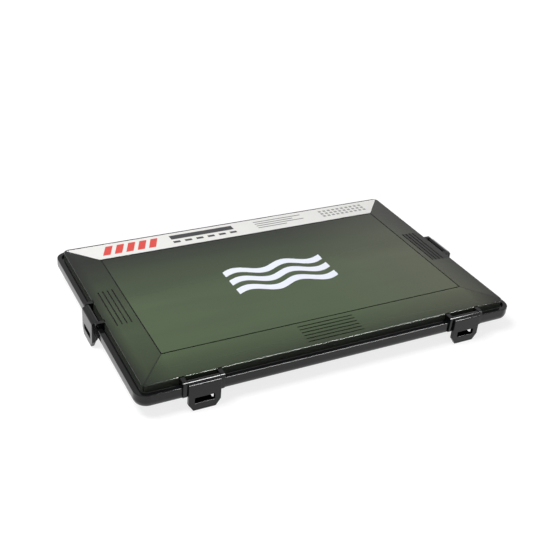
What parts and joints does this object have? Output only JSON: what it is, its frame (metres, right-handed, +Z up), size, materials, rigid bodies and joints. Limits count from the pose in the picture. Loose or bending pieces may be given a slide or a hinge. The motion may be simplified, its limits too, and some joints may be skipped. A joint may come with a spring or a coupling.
{
  "type": "shallow tackle storage box",
  "caption": "Shallow tackle storage box: black compartment tray, smoked hinged lid with finger grips, and swinging hook clips that hold it on the unit below.",
  "frame": {"origin": "centre of the plan, on the surface that the clip tips and the rear hooks stand on", "axes": "+X to the right along the long side, +Y to the back where the lid hinges, +Z up"},
  "size_m": [0.4084, 0.2654, 0.0331],
  "materials": {
    "tray_plastic": "satin-gloss moulded black",
    "clip_plastic": "satin moulded black",
    "divider_plastic": "satin moulded black",
    "lid_plastic": "smoked, green-grey, glossy",
    "label_film": "printed film",
    "seal_rubber": "matt",
    "pin_steel": "drawn wire"
  },
  "bodies": {
    "tray": {"base_tray": "tray_plastic", "lid_seal": "seal_rubber", "hinge_pin_left": "pin_steel", "hinge_pin_right": "pin_steel", "clip_pin_front_left": "pin_steel", "clip_pin_front_right": "pin_steel", "clip_pin_left": "pin_steel", "clip_pin_right": "pin_steel", "front_divider_1": "divider_plastic", "front_divider_2": "divider_plastic", "front_divider_3": "divider_plastic", "front_divider_4": "divider_plastic", "rear_divider_1": "divider_plastic", "rear_divider_2": "divider_plastic"},
    "lid_assembly": {"lid": "lid_plastic", "lid_label": "label_film"},
    "front_left_clip": {"clip_front_left": "clip_plastic"},
    "front_right_clip": {"clip_front_right": "clip_plastic"},
    "left_clip": {"clip_left": "clip_plastic"},
    "right_clip": {"clip_right": "clip_plastic"}
  },
  "joints": [
    {"name": "lid_hinge", "type": "hinge", "parent": "tray", "child": "lid_assembly", "pos_m": [0, 0.1251, 0.02575], "axis": [-1, 0, 0], "range_deg": [0, 115]},
    {"name": "front_left_clip_hinge", "type": "hinge", "parent": "tray", "child": "front_left_clip", "pos_m": [-0.14, -0.1275, 0.0276], "axis": [-1, 0, 0], "range_deg": [0, 120]},
    {"name": "front_right_clip_hinge", "type": "hinge", "parent": "tray", "child": "front_right_clip", "pos_m": [0.14, -0.1275, 0.0276], "axis": [-1, 0, 0], "range_deg": [0, 120]},
    {"name": "left_clip_hinge", "type": "hinge", "parent": "tray", "child": "left_clip", "pos_m": [-0.199, 0, 0.0276], "axis": [0, 1, 0], "range_deg": [0, 120]},
    {"name": "right_clip_hinge", "type": "hinge", "parent": "tray", "child": "right_clip", "pos_m": [0.199, 0, 0.0276], "axis": [0, -1, 0], "range_deg": [0, 120]}
  ]
}
